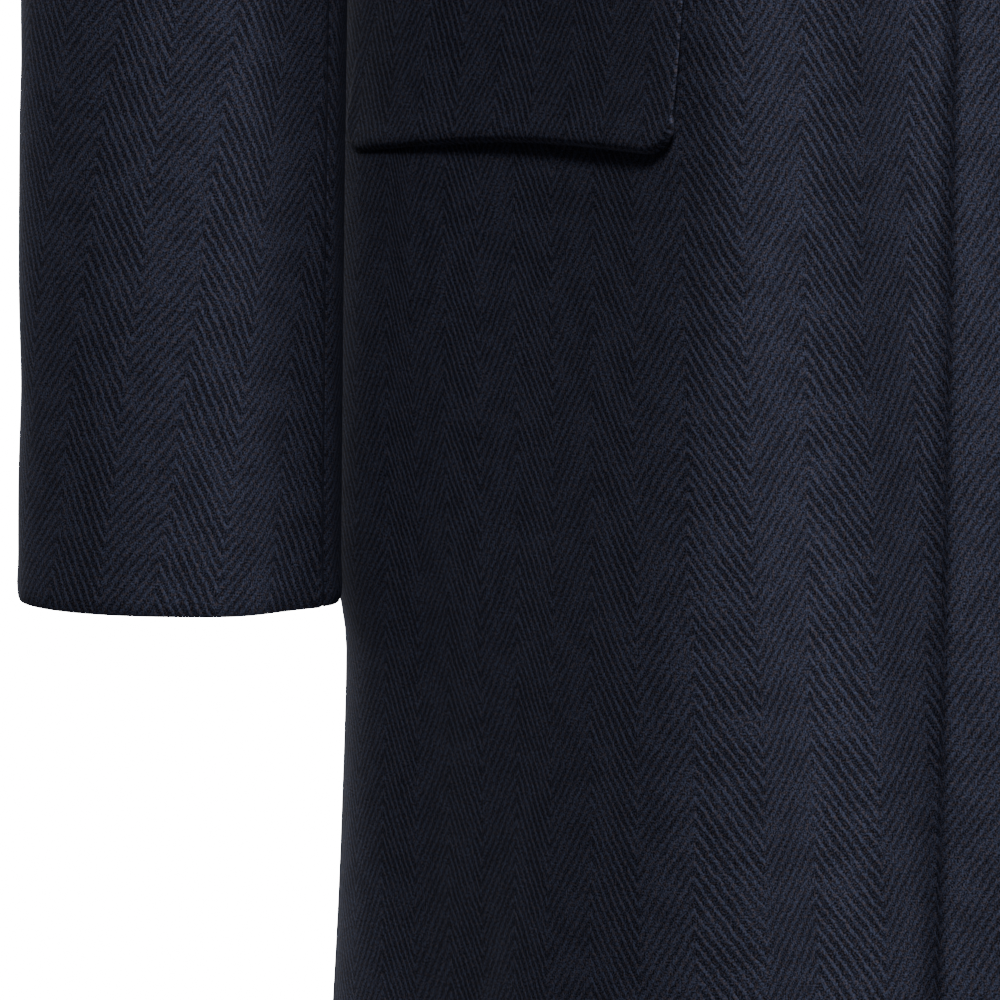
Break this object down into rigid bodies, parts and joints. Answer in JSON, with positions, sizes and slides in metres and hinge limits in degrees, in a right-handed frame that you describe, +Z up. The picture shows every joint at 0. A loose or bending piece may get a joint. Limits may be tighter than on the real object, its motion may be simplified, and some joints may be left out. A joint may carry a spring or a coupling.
{
  "type": "wool overcoat",
  "caption": "Knee-length single-breasted overcoat with notch lapels and flap pockets, filled out as if worn.",
  "frame": {"origin": "middle of the neck opening, at the height of the nape, where the wearer's shoulders carry the coat", "axes": "+Z up, the coat's front faces -Y, the wearer's right is -X"},
  "size_m": [0.6428, 0.3515, 1.0697],
  "materials": {
    "wool": "soft napped wool in a wide herringbone, slate-blue ribs on a navy-black ground",
    "button_horn": "semi-matt dark horn"
  },
  "bodies": {
    "root": {"front_left": "wool", "front_right": "wool", "back_left": "wool", "back_right": "wool", "lapel_left": "wool", "lapel_right": "wool", "collar": "wool", "top_sleeve_left": "wool", "top_sleeve_right": "wool", "under_sleeve_left": "wool", "under_sleeve_right": "wool", "pocket_flap_left": "wool", "pocket_flap_right": "wool", "button_1": "button_horn", "button_2": "button_horn", "button_3": "button_horn"}
  },
  "joints": []
}
